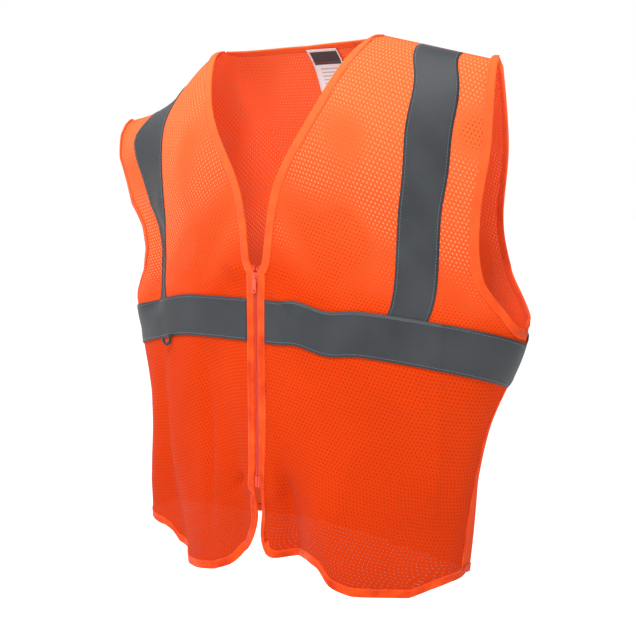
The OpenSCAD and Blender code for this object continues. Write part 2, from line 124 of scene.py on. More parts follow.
def drape(x, z, f):
    """How the cloth hangs away from the plain body shape.

    Gives a shift in mm along x, y and z, and a push along the outward direction.
    """
    left, right = np.maximum(x, 0), np.maximum(-x, 0)
    low = ramp(-400, -620, z)
    # the wearer's right shoulder hangs lower and further out
    w = ramp(105, 240, right)
    high = ramp(-150, -25, z)
    dz = w * (-46 * high - 12 * (1 - high))
    dx = ramp(185, 262, right) * np.interp(-z, [0, 60, 110, 150, 180, 210, 240, 270, 310, 400],
                                           [-30, -45, -46, -38, -33, -12, 2, 6, -4, 0])
    dx = dx + ramp(110, 205, right) * np.interp(
        -z, [350, 380, 420, 460, 500, 540, 580, 632], [0, -9, -19, -27, -33, -40, -46, -48])
    dy = bell(x, -212, 24) * np.interp(-z, [120, 180, 240, 290, 305, 330], [0, 6, 20, 24, 20, 0])
    dy = dy * (f < 0)
    # the fronts part a little below the zip and close again above the corners
    part = 3.0 * bell(z, -524, 17) - 1.4 * bell(z, -560, 14)
    dx = dx + (f < 0) * np.sign(x) * part * np.exp(-np.abs(x) / 24)
    # the back neck stands up in the middle
    dz = dz + 5 * bell(x, 0, 95) * ramp(-70, -5, z) * (f > 0)
    # hem of the fronts: level by the zip, then a step down into a flute
    if f < 0:
        rise = np.interp(x, [-214, -199, -177, -172, -166, -129, -105, -75, -51, -35, -9, -4, 4, 10,
                             17, 26, 35, 50, 71, 86, 93, 98, 106, 123, 157, 183, 201, 214],
                         [20, 12, 6, 0, -14, -33, -32, -29, -20, -8, -8, -5, -28, -26,
                          -18, -8, -1, 8, 17, 16, 8, 0, -3, -6, -4, -2, 8, 14])
        dz = dz + rise * low
        # the belt sags a little beside the zip
        dz = dz + ramp(-230, -300, z) * ramp(-430, -370, z) * (
            -5 * bell(x, 100, 24) + 3 * bell(x, 58, 20))
    else:
        dz = dz + np.interp(x, [-214, -199, -150, 150, 201, 214], [20, 12, 0, 0, 8, 14]) * low
    push = np.zeros_like(x)
    side = ramp(262, 200, np.abs(x))
    if f < 0:
        # flutes that run up from the hem, and the small folds round them
        flute = -24 * bell(x, 46, 22) + 14 * bell(x, 118, 40) + 10 * bell(x, -92, 34)
        flute = flute - 20 * bell(x, -158, 20) - 10 * bell(x, -34, 18)
        push = push + flute * low * low
        push = push - 7 * bell(z + 514 - 0.55 * (x + 25), 0, 7) * bell(x, -30, 14)
        push = push - 8 * bell(x - 36 + 0.25 * (z + 520), 0, 8) * bell(z, -525, 30)
        push = push + 7 * bell(x - 0.3 * (z + 560), 92, 20) * bell(z, -545, 60)
        push = push - 4 * bell(x + 0.45 * (z + 400), 150, 24) * bell(z, -450, 70)
        push = push - 8 * bell(x + 0.05 * (z + 480), -86, 8) * bell(z, -480, 85)
        push = push - 13 * bell(x + 0.04 * (z + 480), -174, 12) * bell(z, -500, 95)
        # soft hollows above the flutes
        push = push + 5 * bell(x, 60, 36) * bell(z, -330, 60)
        push = push - 6 * bell(x + 0.35 * (z + 420), -70, 26) * bell(z, -440, 80)
        push = push + 5 * bell(x - 0.25 * (z + 420), -120, 26) * bell(z, -420, 110)
        # pressed crease down the wearer's left
        line = 226 + 0.07 * (z + 280)
        crease = np.exp(-np.abs(x - line) / 7) * ramp(-250, -290, z) * ramp(-560, -500, z)
        push = push + 3.2 * crease
        # pulls that run out of the top of the zip
        push = push + 3.5 * bell(z + 1.1 * left, -250, 12) * bell(left, 36, 24) * (x > 0)
        push = push + 3.5 * bell(z - 0.6 * right, -284, 10) * bell(right, 36, 22) * (x < 0)
        # folds by the right shoulder tape
        push = push - 9 * bell(x, -232, 20) * bell(z, -190, 70)
        push = push + 4 * bell(x, -196, 12) * bell(z, -190, 26)
        push = push - 5 * bell(x + 0.3 * (z + 235), -190, 10) * bell(z, -236, 30)
        # a soft crease across the top of the left tape
        push = push - 2.5 * bell(z + 0.25 * (x - 205) + 2, -30, 7) * bell(x, 205, 30)
        # chest and lower wave
        push = push + 2.6 * np.sin(x / 33 + z / 95) * bell(z, -150, 90) * side
        push = push + 2.2 * np.sin(x / 41 - z / 120 + 1.0) * ramp(-350, -470, z) * side
        push = push + 1.2 * np.sin(x / 17 + z / 60) * ramp(-380, -560, z) * side
        # beside the zip the cloth is held flat
        push = push * (1 - (1 - ramp(15, 38, np.abs(x))) * ramp(-540, -518, z))
    else:
        push = push + 4.5 * np.sin(x / 46 + z / 210) * ramp(-320, -560, z) * side
        push = push + 2.5 * np.sin(x / 27 - z / 130 + 2) * ramp(-120, -260, z) * side
        push = push + 1.5 * np.sin(x / 15 + z / 45 + 1) * ramp(-340, -420, z) * side
    push = push * ramp(-4, -40, z - shoulder_z(x)) * ramp(0.998, 0.93, np.abs(x) / body_w(z))
    return dx, dy, dz, push


def shape(u, z, f):
    """Points of the worn surface; u mm round the body, f -1 front, 1 back."""
    u, z = np.broadcast_arrays(np.asarray(u, float), np.asarray(z, float))
    phi = np.radians(u / DEG)
    x = body_w(z) * np.sin(phi)
    r = 1 - np.minimum(np.maximum(0, shoulder_z(x) - z) / ARCH, 1)
    if f < 0:
        d = np.where(z < -V_DEPTH, FRONT, FRONT - 26 * ((z + V_DEPTH) / V_DEPTH) ** 2)
    else:
        d = np.where(z < -200, BACK, BACK - 20 * (z / 200 + 1) ** 2)
    y = mid_y(z) + f * d * np.sqrt(1 - r * r) * np.cos(phi)
    dx, dy, dz, push = drape(x, z, f)
    return np.stack([x + dx + push * np.sin(phi), y + dy + push * f * np.cos(phi), z + dz], -1)


def unit(v):
    return v / np.maximum(np.linalg.norm(v, axis=-1, keepdims=True), 1e-9)


def normal(u, z, f):
    e = 0.6
    a = shape(u + e, z, f) - shape(u - e, z, f)
    b = shape(u, z, f) - shape(u, z - e, f)
    return unit(np.cross(a, b)) * (1 if f < 0 else -1)


# ------------------------------------------------------------ pattern edges
def v_edge_x(z):
    h = np.clip(z + V_DEPTH, 0, V_DEPTH)
    edge = GAP + (NECK - GAP) * (h / V_DEPTH)**V_HOLLOW
    # the V hangs a little open: just above the slider and below the neck
    foot = (1 - np.exp(-h / 7)) * np.exp(-(h / 75)**2)
    return edge + V_FLARE * (0.8 * foot + 1.2 * np.sin(np.pi * np.clip(-z / 180, 0, 1))**2)


FRONT_ARM = [(-30, SHOULDER), (-120, SHOULDER - 2), (-200, SHOULDER - 10), (-262, SHOULDER - 3),
             (-300, CHEST - 10), (-ARMHOLE, CHEST - 0.5)]
BACK_ARM = [(-30, SHOULDER), (-120, SHOULDER - 12), (-200, SHOULDER - 32), (-262, SHOULDER - 20),
            (-300, CHEST - 20), (-ARMHOLE, CHEST - 0.5)]


def arm_u(z, f):
    u = to_u(smooth(FRONT_ARM if f < 0 else BACK_ARM, z), z)
    return np.where(z <= -ARMHOLE, QUARTER, u)


def neck_z(x, w):
    return shoulder_z(x) - (BACK_NECK + w - NECK) * np.sqrt(np.maximum(0, 1 - np.abs(x) / w))


def hem_at(u, f):
    if f > 0:
        return -LENGTH + 0 * u
    return -LENGTH + HEM_RISE * np.cos(np.radians(np.minimum(np.abs(u) / DEG, 90))) ** 4


def belt_top(u):
    return BELT_Z - BELT_DROP * (1 - np.cos(np.radians(u / DEG)))


def front_edge_u(z):
    """Free edge of a front: the V, the zip edge and the round corner."""
    low = np.clip(CORNER_Z - z, 0, CORNER)
    x = np.where(z > CORNER_Z, v_edge_x(z), GAP + CORNER - np.sqrt(CORNER**2 - low**2))
    return to_u(x, z)


def to_hem(z, foot):
    """Heights in the round corner, stretched so that the lowest reaches the hem."""
    return CORNER_Z + (z - CORNER_Z) * (CORNER_Z - foot) / CORNER


# ------------------------------------------------------------------- meshes
def mesh_object(name, points, faces, mat, uv=None, smooth_on=True):
    me = bpy.data.meshes.new(name)
    me.from_pydata((np.asarray(points) / 1000).tolist(), [], faces)
    if uv is not None:
        layer = me.uv_layers.new(name="UVMap")
        loops = np.zeros(len(me.loops), np.int32)
        me.loops.foreach_get("vertex_index", loops)
        layer.data.foreach_set("uv", (np.asarray(uv)[loops] / 1000).ravel())
    me.materials.append(mat)
    if smooth_on:
        me.polygons.foreach_set("use_smooth", np.ones(len(me.polygons), bool))
    me.update()
    ob = bpy.data.objects.new(name, me)
    bpy.context.scene.collection.objects.link(ob)
    return ob


def grid_faces(n, m, start=0, flip=False):
    i, j = np.meshgrid(np.arange(n - 1), np.arange(m - 1), indexing="ij")
    a = start + i * m + j
    q = np.stack([a, a + m, a + m + 1, a + 1], -1).reshape(-1, 4)
    return (q[:, ::-1] if flip else q).tolist()


def grid_uv(p, u0):
    """Flat pattern place of each grid point, from distances along the cloth."""
    du = np.linalg.norm(np.diff(p, axis=1), axis=-1)
    u = u0 + np.concatenate([0 * du[:, :1], np.cumsum(du, 1)], 1)
    step = np.diff(p, axis=0)
    dv = np.hypot(step[..., 1], step[..., 2])
    v = np.concatenate([0 * dv[:1], np.cumsum(dv, 0)], 0)
    return np.stack([u, -v], -1)


def cloth(name, u, z, f, mat, u0):
    """One open layer of cloth on the worn surface."""
    p = shape(u, z, f) + SKIN * normal(u, z, f)
    n, m = u.shape
    ob = mesh_object(name, p.reshape(-1, 3), grid_faces(n, m, flip=f > 0), mat,
                     grid_uv(p, u0).reshape(-1, 2))
    return ob, p


def slab(name, p, nrm, lo, hi, mat, uv, flip=False):
    """Closed thin strip between two offsets of a grid of points."""
    n, m = p.shape[:2]
    k = n * m
    pts = np.concatenate([(p + hi * nrm).reshape(-1, 3), (p + lo * nrm).reshape(-1, 3)])
    faces = grid_faces(n, m, 0, flip) + grid_faces(n, m, k, not flip)
    rim = list(range(m)) + [i * m + m - 1 for i in range(1, n)]
    rim += [(n - 1) * m + j for j in range(m - 2, -1, -1)] + [i * m for i in range(n - 2, 0, -1)]
    for a, b in zip(rim, rim[1:] + rim[:1]):
        faces.append([a, b, b + k, a + k] if not flip else [a, a + k, b + k, b])
    uv = uv.reshape(-1, 2)
    return mesh_object(name, pts, faces, mat, np.concatenate([uv, uv]))


def run_length(path):
    """Distance along a path at each of its points."""
    return np.concatenate([[0], np.cumsum(np.linalg.norm(np.diff(path, axis=0), axis=1))])


def sweep(name, path, out, side, section, mat):
    """A strip with the given (along side, along out) section run along a path."""
    n, m = len(path), len(section)
    sec = np.array(section, float)
    pts = path[:, None] + sec[None, :, :1] * side[:, None] + sec[None, :, 1:] * out[:, None]
    uv = np.stack(np.broadcast_arrays(run_length(path)[:, None], run_length(sec)[None, :]), -1)
    faces = []
    for a in range(0, (n - 1) * m, m):
        for j in range(m):
            k = (j + 1) % m
            faces.append([a + j, a + k, a + m + k, a + m + j])
    faces.append(list(range(m - 1, -1, -1)))
    faces.append([(n - 1) * m + j for j in range(m)])
    return mesh_object(name, pts.reshape(-1, 3), faces, mat, uv.reshape(-1, 2))


def frames(path, f):
    """Points, outward and inward directions along a pattern edge (u, z)."""
    t = unit(np.gradient(path, axis=0))
    inward = np.stack([-t[:, 1], t[:, 0]], -1)
    p = shape(path[:, 0], path[:, 1], f)
    out = normal(path[:, 0], path[:, 1], f)
    q = shape(path[:, 0] + inward[:, 0], path[:, 1] + inward[:, 1], f)
    side = q - p
    side = unit(side - (side * out).sum(-1, keepdims=True) * out)
    return p, out, side


# cross-section of the folded binding, as (in from the edge, out from the body)
BIND = [(-1.1, SKIN), (-0.8, SKIN + 0.8), (0.3, SKIN + 1.25), (2.0, SKIN + 1.1), (6.4, SKIN + 1.0),
        (BIND_W - 0.6, SKIN + 1.05), (BIND_W, SKIN + 0.6), (BIND_W, SKIN - 0.6),
        (BIND_W - 0.6, SKIN - 1.05), (6.4, SKIN - 1.0), (2.0, SKIN - 1.1), (0.3, SKIN - 1.25),
        (-0.8, SKIN - 0.8)]


def stitches(name, path, out, side, a, b, mat, pitch=3.2, length=2.3, r=0.32):
    """Short threads in a row, a along side and b along out from the path."""
    base = path + a * side + b * out
    d = run_length(base)
    s = np.arange(pitch, d[-1] - pitch, pitch)

    def at(v, t):
        return np.stack([np.interp(t, d, v[:, k]) for k in range(3)], -1)

    pts = []
    o, sd = unit(at(out, s)), unit(at(side, s))
    for off, k in ((-0.5, 0.25), (-0.3, 1.0), (0.3, 1.0), (0.5, 0.25)):
        c = at(base, s + off * length)
        for i in range(4):
            ang = math.pi / 2 * i + math.pi / 4
            pts.append(c + k * r * (math.cos(ang) * sd + math.sin(ang) * o))
    one = [[3, 2, 1, 0], [12, 13, 14, 15]]
    for k in range(3):
        for i in range(4):
            j = (i + 1) % 4
            one.append([4 * k + i, 4 * k + j, 4 * k + 4 + j, 4 * k + 4 + i])
    faces = (np.array(one)[None] + 16 * np.arange(len(s))[:, None, None]).reshape(-1, 4).tolist()
    return mesh_object(name, np.stack(pts, 1).reshape(-1, 3), faces, mat)


# ---------------------------------------------------------------- materials
class Nodes:
    """Small helper to write a node material."""

    def __init__(self, name, color, rough=0.8, sheen=0.0, metal=0.0, spec=0.5):
        self.mat = bpy.data.materials.new(name)
        self.mat.use_nodes = True
        self.tree = self.mat.node_tree
        self.bsdf = self.tree.nodes["Principled BSDF"]
        self.set(self.bsdf, "Base Color", (*color, 1))
        self.set(self.bsdf, "Roughness", rough)
        self.set(self.bsdf, "Metallic", metal)
        self.set(self.bsdf, "Specular IOR Level", spec)
        if sheen:
            self.set(self.bsdf, "Sheen Weight", sheen)
            self.set(self.bsdf, "Sheen Roughness", 0.5)

    def set(self, node, key, value):
        if hasattr(value, "is_output"):
            self.tree.links.new(value, node.inputs[key])
        else:
            node.inputs[key].default_value = value

    def math(self, op, a, b=0.0, c=0.0):
        n = self.tree.nodes.new("ShaderNodeMath")
        n.operation = op
        for k, v in enumerate((a, b, c)):
            self.set(n, k, v)
        return n.outputs[0]

    def place(self, kind):
        """Coordinates of one kind, whole and split into x, y and z."""
        n = self.tree.nodes.new("ShaderNodeTexCoord")
        s = self.tree.nodes.new("ShaderNodeSeparateXYZ")
        self.tree.links.new(n.outputs[kind], s.inputs[0])
        return n.outputs[kind], *s.outputs

    def uv(self):
        return self.place("UV")[:3]

    def wave(self, v, length):
        return self.math("SINE", self.math("MULTIPLY", v, 2 * math.pi / length))

    def times(self, a, b):
        return self.math("MULTIPLY", a, b)

    def plus(self, a, b):
        return self.math("ADD", a, b)

    def noise(self, vector, scale, detail=2.0, rough=0.5):
        n = self.tree.nodes.new("ShaderNodeTexNoise")
        self.tree.links.new(vector, n.inputs["Vector"])
        n.inputs["Scale"].default_value = scale
        n.inputs["Detail"].default_value = detail
        n.inputs["Roughness"].default_value = rough
        return n.outputs["Fac"]

    def mix(self, fac, a, b):
        n = self.tree.nodes.new("ShaderNodeMix")
        n.data_type = "RGBA"
        self.set(n, "Factor", fac)
        for key, v in ((6, a), (7, b)):
            if hasattr(v, "is_output"):
                self.tree.links.new(v, n.inputs[key])
            else:
                n.inputs[key].default_value = (*v, 1)
        return n.outputs[2]

    def rescale(self, v, a, b, c, d):
        n = self.tree.nodes.new("ShaderNodeMapRange")
        for k, x in enumerate((v, a, b, c, d)):
            self.set(n, k, x)
        return n.outputs[0]

    def color(self, value):
        self.tree.links.new(value, self.bsdf.inputs["Base Color"])

    def rough(self, value):
        self.tree.links.new(value, self.bsdf.inputs["Roughness"])

    def bump(self, height, strength, distance):
        n = self.tree.nodes.new("ShaderNodeBump")
        n.inputs["Strength"].default_value = strength
        n.inputs["Distance"].default_value = distance
        self.tree.links.new(height, n.inputs["Height"])
        self.tree.links.new(n.outputs[0], self.bsdf.inputs["Normal"])

    def glow(self, color, strength):
        # emission: the surface gives off light of its own; on the cloth, binding, threads, zip tape
        # and plastic parts this is painted glow
        self.set(self.bsdf, "Emission Color", (*color, 1))
        self.set(self.bsdf, "Emission Strength", strength)


ORANGE = (0.60, 0.036, 0.002)
ORANGE_DEEP = (0.52, 0.028, 0.001)
ORANGE_LIGHT = (0.90, 0.080, 0.006)
HOLE_X, HOLE_Z = 0.00443, 0.0043    # pitch of the holes, m


def mesh_cloth_material(name, glow):
    """Knitted mesh: staggered round holes, a raised thread round each one."""
    m = Nodes(name, ORANGE, rough=0.88, sheen=0.02, spec=0.03)
    uv, ux, uz = m.uv()
    # distance in mm to the middle of the nearest hole; every other row is shifted
    row = m.math("DIVIDE", uz, HOLE_Z)
    shift = m.times(m.math("FLOORED_MODULO", m.math("FLOOR", row), 2.0), 0.5)
    fx = m.math("SUBTRACT", m.math("FRACT", m.plus(m.math("DIVIDE", ux, HOLE_X), shift)), 0.5)
    fz = m.math("SUBTRACT", m.math("FRACT", row), 0.5)
    a = m.times(fx, HOLE_X * 1000)
    b = m.times(fz, HOLE_Z * 1000 / 1.22)
    dist = m.math("SQRT", m.plus(m.times(a, a), m.times(b, b)))
    wobble = m.noise(uv, 420.0, 1.0)
    dist = m.plus(dist, m.times(m.math("SUBTRACT", wobble, 0.5), 0.25))
    m.set(m.bsdf, "Alpha", m.rescale(dist, 0.40, 0.62, 0.86, 1.0))
    broad = m.noise(uv, 9.0, 3.0)
    fine = m.noise(uv, 900.0, 2.0)
    tone = m.mix(m.rescale(broad, 0.3, 0.7, 0.0, 1.0), ORANGE_DEEP, ORANGE)
    # painted highlight: lighter and paler on the chest; painted shade: deeper near the hem
    high = m.rescale(m.plus(uz, m.times(broad, 0.08)), -0.27, -0.05, 0.0, 1.0)
    tone = m.mix(m.times(high, 0.75), tone, (1.0, 0.16, 0.045))
    tone = m.mix(m.rescale(uz, -0.40, -0.62, 0.0, 0.6), tone, (0.42, 0.016, 0.001))
    # the holes are painted: painted shade in them below, and painted light in patches on the chest
    # as if light came through
    lit = m.times(m.rescale(uz, -0.29, -0.21, 0.0, 1.0),
                  m.rescale(m.noise(uv, 7.0, 1.0), 0.40, 0.52, 0.0, 1.0))
    painted_hole_light_and_shade = m.mix(lit, (0.22, 0.008, 0.001), (1.0, 0.36, 0.20))
    tone = m.mix(m.times(m.rescale(dist, 0.62, 0.95, 1.0, 0.0), 0.8), tone, painted_hole_light_and_shade)
    m.color(m.mix(m.times(fine, 0.25), tone, ORANGE_LIGHT))
    m.rough(m.rescale(fine, 0.3, 0.7, 0.75, 0.95))
    height = m.plus(m.rescale(dist, 0.6, 1.7, 0.0, 1.0), m.times(m.wave(ux, 0.0011), 0.12))
    m.bump(m.plus(height, m.times(fine, 0.3)), 0.5, 0.0004)
    # painted glow: the cloth gives off a little light of its own
    m.glow((1.0, 0.14, 0.035), glow)
    return m.mat


def binding_material():
    """Knitted binding: fine ribs along the strip, with a painted highlight that makes it lighter
    near the shoulders.
    """
    m = Nodes("edge binding", ORANGE_LIGHT, rough=0.75, sheen=0.06, spec=0.1)
    uv, ux, uy = m.uv()
    fine = m.noise(uv, 700.0, 2.0)
    broad = m.noise(uv, 40.0, 2.0)
    # painted highlight: lighter higher up the body, where the light falls
    high = m.rescale(m.place("Object")[3], -0.36, -0.04, 0.0, 0.8)
    tone = m.mix(m.rescale(broad, 0.3, 0.7, 0.0, 1.0), ORANGE_DEEP, ORANGE_LIGHT)
    m.color(m.mix(high, tone, (1.0, 0.15, 0.035)))
    m.rough(m.rescale(fine, 0.3, 0.7, 0.65, 0.85))
    ribs = m.plus(m.times(m.wave(uy, 0.0009), 0.5), m.times(m.wave(ux, 0.0014), 0.2))
    m.bump(m.plus(ribs, m.times(fine, 0.6)), 0.5, 0.0002)
    # painted glow: the binding gives off a little light of its own
    m.glow((1.0, 0.1, 0.015), 0.04)
    return m.mat


def tape_material():
    """Grey reflective tape: fine diagonal weave, soft creases, slight wear."""
    m = Nodes("reflective tape", (0.05, 0.055, 0.06), rough=0.5, metal=0.1, spec=0.35)
    uv, ux, uy = m.uv()
    weave = m.times(m.wave(m.plus(ux, uy), 0.0010), m.wave(m.math("SUBTRACT", ux, uy), 0.0010))
    broad = m.noise(uv, 14.0, 4.0, 0.55)
    scuff = m.noise(uv, 120.0, 3.0, 0.7)
    tone = m.mix(m.rescale(broad, 0.3, 0.7, 0.0, 1.0),
                 (0.024, 0.027, 0.031), (0.040, 0.044, 0.050))
    tone = m.mix(m.rescale(scuff, 0.62, 0.75, 0.0, 0.35), tone, (0.028, 0.03, 0.033))
    m.color(tone)
    m.rough(m.rescale(broad, 0.3, 0.7, 0.42, 0.58))
    m.bump(m.plus(m.times(weave, 0.25), m.times(broad, 3.0)), 0.35, 0.0004)
    return m.mat


def shade(color, k):
    return tuple(min(1, k * c) for c in color)


def thread_material(name, color, glow=0.0):
    m = Nodes(name, color, rough=0.6, sheen=0.3)
    n = m.noise(m.place("Object")[0], 900.0, 1.0)
    m.color(m.mix(n, shade(color, 0.75), shade(color, 1.15)))
    m.bump(n, 0.3, 0.0001)
    # painted glow where a strength is given
    if glow:
        m.glow(color, glow)
    return m.mat


def zip_tape_material():
    m = Nodes("zip tape", (0.72, 0.05, 0.012), rough=0.8, sheen=0.08, spec=0.15)
    _, ux, uy = m.uv()
    h = m.times(m.wave(ux, 0.0012), m.wave(uy, 0.0009))
    m.color(m.mix(m.rescale(h, -1, 1, 0, 1), (0.55, 0.035, 0.01), (0.80, 0.07, 0.025)))
    m.bump(h, 0.4, 0.0002)
    # painted glow: the zip tape gives off a little light of its own
    m.glow((1.0, 0.1, 0.02), 0.02)
    return m.mat


def plastic_material(name, color, rough):
    m = Nodes(name, color, rough=rough, spec=0.5)
    n = m.noise(m.place("Object")[0], 300.0, 3.0)
    m.color(m.mix(n, shade(color, 0.85), shade(color, 1.1)))
    m.rough(m.rescale(n, 0.3, 0.7, rough - 0.08, rough + 0.1))
    m.bump(n, 0.15, 0.0002)
    # painted glow: the plastic gives off a little light of its own
    m.glow(color, 0.05)
    return m.mat


def label_material():
    """White woven label: plain dark header and blank grey bars."""
    m = Nodes("label", (0.84, 0.86, 0.87), rough=0.5, sheen=0.2)
    uv, ux, uy = m.uv()

    def band(v, lo, hi):
        return m.times(m.math("GREATER_THAN", v, lo), m.math("LESS_THAN", v, hi))

    head = m.times(band(ux, 0.003, 0.043), band(uy, -0.019, -0.003))
    bars = m.math("GREATER_THAN", m.wave(uy, 0.0042), 0.25)
    rows = m.times(bars, m.times(band(ux, 0.009, 0.037), band(uy, -0.058, -0.023)))
    weave = m.noise(uv, 600.0, 2.0)
    tone = m.mix(weave, (0.80, 0.82, 0.84), (0.90, 0.92, 0.93))
    tone = m.mix(m.times(rows, 0.55), tone, (0.25, 0.27, 0.30))
    m.color(m.mix(head, tone, (0.035, 0.04, 0.045)))
    m.bump(weave, 0.3, 0.0002)
    return m.mat


def cord_material():
    m = Nodes("black cord", (0.012, 0.012, 0.014), rough=0.7, sheen=0.2)
    n = m.noise(m.place("Object")[0], 1200.0, 2.0)
    m.color(m.mix(n, (0.006, 0.006, 0.007), (0.03, 0.03, 0.033)))
    m.bump(n, 0.4, 0.0002)
    return m.mat


MESH = mesh_cloth_material("mesh cloth", 0.03)
# the back mesh gets a stronger painted glow, standing in for light that shines through the mesh
# onto the inside
MESH_BACK = mesh_cloth_material("back mesh", 0.20)
BINDING, TAPE = binding_material(), tape_material()
ORANGE_THREAD = thread_material("orange thread", (0.80, 0.08, 0.012), 0.03)
GREY_THREAD = thread_material("grey thread", (0.13, 0.17, 0.20))
ZIP_TAPE = zip_tape_material()
TEETH = plastic_material("zip teeth", (0.68, 0.055, 0.028), 0.45)
SLIDER = plastic_material("zip slider", (0.74, 0.085, 0.045), 0.35)
LABEL, CORD = label_material(), cord_material()

# ------------------------------------------------------------------- placement
def bend(ob):
    """Bakes the piece's placement into its mesh; nothing bends it."""
    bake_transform(ob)


# ------------------------------------------------------------------- panels
def arch_rows(n):
    """Heights below the shoulder line, close together on the rounded top."""
    return -ARCH * (1 - np.cos(np.radians(np.linspace(0.6, 90, n))))


def arch_fade(rows):
    return np.maximum(0, 1 + rows / ARCH)


def flat_area(p):
    """Area in m2 of a grid of points in mm."""
    a = np.linalg.norm(np.cross(p[1:, :-1] - p[:-1, :-1], p[:-1, 1:] - p[:-1, :-1]), axis=-1)
    return float(a.sum()) / 1e6


def front_panel(side):
    rows = np.concatenate([arch_rows(52), np.arange(-184, CORNER_Z, -4.5),
                           CORNER_Z - CORNER * np.sin(np.radians(np.linspace(0, 90, 16)))])
    t = np.linspace(0, 1, 84)
    z0 = rows[:, None] + 0 * t
    fade = arch_fade(rows)
    inner = front_edge_u(np.minimum(rows, -0.05))[:, None]
    outer = arm_u(rows + shoulder_z(SHOULDER) * fade, -1)[:, None]
    u = inner + (outer - inner) * t[None, :]
    x = body_w(z0) * np.sin(np.radians(u / DEG))
    z = z0 + shoulder_z(x) * fade[:, None]
    z = np.where(z < CORNER_Z, to_hem(z, hem_at(u, -1)), z)
    name = "left_front_cloth" if side > 0 else "right_front_cloth"
    return cloth(name, side * u, z, -1, MESH, v_edge_x(rows)[:, None])


def back_panel():
    rows = np.concatenate([arch_rows(50), np.arange(-185, -LENGTH + 2, -5), [-LENGTH + 0.5]])
    t = np.linspace(-1, 1, 181)
    fade = arch_fade(rows)
    outer = arm_u(rows + shoulder_z(SHOULDER) * fade, 1)[:, None]
    u = outer * t[None, :]
    z0 = rows[:, None] + 0 * t
    x = body_w(z0) * np.sin(np.radians(u / DEG))
    z = z0 + neck_z(x, NECK) * fade[:, None]
    return cloth("back_cloth", u, z, 1, MESH_BACK, -outer)


sheets = []                # piece, area in m2, flat size in m, pieces that go with it


def keep(ob, nodes=(), side=0, body="vest"):
    """Hides the CAD pieces it stands for and sets what it rides on.

    A piece with a side stays where it is, with its placement baked in; any other rides on one body.
    """
    if nodes:
        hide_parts(*nodes)
    if side:
        bend(ob)
    else:
        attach(ob, body)
    return ob


for side, word in SIDES:
    ob, p = front_panel(side)
    if side < 0:
        ob.data.flip_normals()
    keep(ob, [word + "_front_panel", word + "_side_panel"], side)
    sheets.append([ob, flat_area(p), (0.36, 0.66), []])
ob, p = back_panel()
keep(ob, ["back_panel"])
sheets.append([ob, flat_area(p), (0.72, 0.68), []])

# ----------------------------------------------------------------- bindings
def bind(name, runs, nodes, side):
    """Folded binding along pattern runs of (path, face, way), joined end to end."""
    parts = [frames(path, f) for path, f, _ in runs]
    p = np.concatenate([part[0] for part in parts])
    o = np.concatenate([part[1] for part in parts])
    s = np.concatenate([part[2] * run[2] for part, run in zip(parts, runs)])
    strip = keep(sweep(name, p, o, s, BIND, BINDING), nodes, side)
    rows = [keep(stitches(name + word, p, o, s, BIND_W - 1.6, out, ORANGE_THREAD), (), side)
            for word, out in (("_stitches", SKIN + 1.15), ("_inner_stitches", SKIN - 1.15))]
    return [strip, *rows]


for side, word in SIDES:
    # from the side seam along the hem, round the corner and up the zip edge and the V
    hem_u = np.linspace(QUARTER - 0.5, to_u(GAP + CORNER, -LENGTH), 60)
    run = np.stack([hem_u, hem_at(hem_u, -1)], -1)
    zc = CORNER_Z - CORNER * np.sin(np.radians(np.linspace(90, 0, 14))[1:])
    corner_u = front_edge_u(zc)
    corner = np.stack([corner_u, to_hem(zc, hem_at(corner_u, -1))], -1)
    ze = np.linspace(CORNER_Z + 3, -V_DEPTH, 50)
    edge = np.stack([front_edge_u(ze), ze], -1)
    zv = np.concatenate([np.linspace(-V_DEPTH + 4, -60, 60), arch_rows(26)])
    zv = np.unique(np.round(zv, 3))
    vee = np.stack([front_edge_u(zv), zv], -1)
    path = np.concatenate([run, corner, edge, vee])
    path = path[np.diff(run_length(path), prepend=-1) > 0.15]
    path[:, 0] *= side
    sheets[0 if side > 0 else 1][3].extend(bind(
        word + "_front_binding_visual", [(path, -1, -side)],
        [word + "_front_binding", word + "_hem_binding"], side))

    rows = arch_rows(40)
    down = np.concatenate([rows + shoulder_z(SHOULDER) * arch_fade(rows),
                           np.linspace(-186, -ARMHOLE, 40)])
    front = np.stack([side * arm_u(down, -1), down], -1)[::-1]
    back = np.stack([side * arm_u(down, 1), down], -1)
    sheets[2][3].extend(bind(word + "_armhole_binding_visual", [(front, -1, side), (back, 1, side)],
                             [word + "_armhole_binding"], 0))

xs = NECK * np.sin(np.radians(np.linspace(-90, 90, 90)))
neck = np.stack([to_u(xs, 0), neck_z(xs, NECK) - 0.3], -1)
sheets[2][3].extend(bind("neck_binding_visual", [(neck, 1, -1)], ["neck_binding"], 0))
us = np.linspace(-QUARTER + 0.5, QUARTER - 0.5, 220)
hem = np.stack([us, hem_at(us, 1)], -1)
sheets[2][3].extend(bind("back_hem_binding_visual", [(hem, 1, 1)], ["back_hem_binding"], 0))


# -------------------------------------------------------------------- tapes
def tape(name, u, z, f, lift, nodes, side, rows_along):
    """Reflective tape with a stitch row near both long edges."""
    p = shape(u, z, f)
    nrm = normal(u, z, f)
    ob = slab(name, p, nrm, lift, lift + 0.45, TAPE, grid_uv(p, 0), flip=f > 0)
    keep(ob, nodes, side)
    sheets.append([ob, flat_area(p), None, []])
    for k, (a, s) in enumerate(((0, 1), (-1, -1))):
        if rows_along:
            line, other, nn = p[a], p[a + s], nrm[a]
        else:
            line, other, nn = p[:, a], p[:, a + s], nrm[:, a]
        th = stitches(name + "_stitches%d" % k, line, nn, unit(other - line), 3.0, lift + 0.55,
                      GREY_THREAD, pitch=3.4, length=2.7, r=0.3)
        keep(th, (), side)
        sheets[-1][3].append(th)


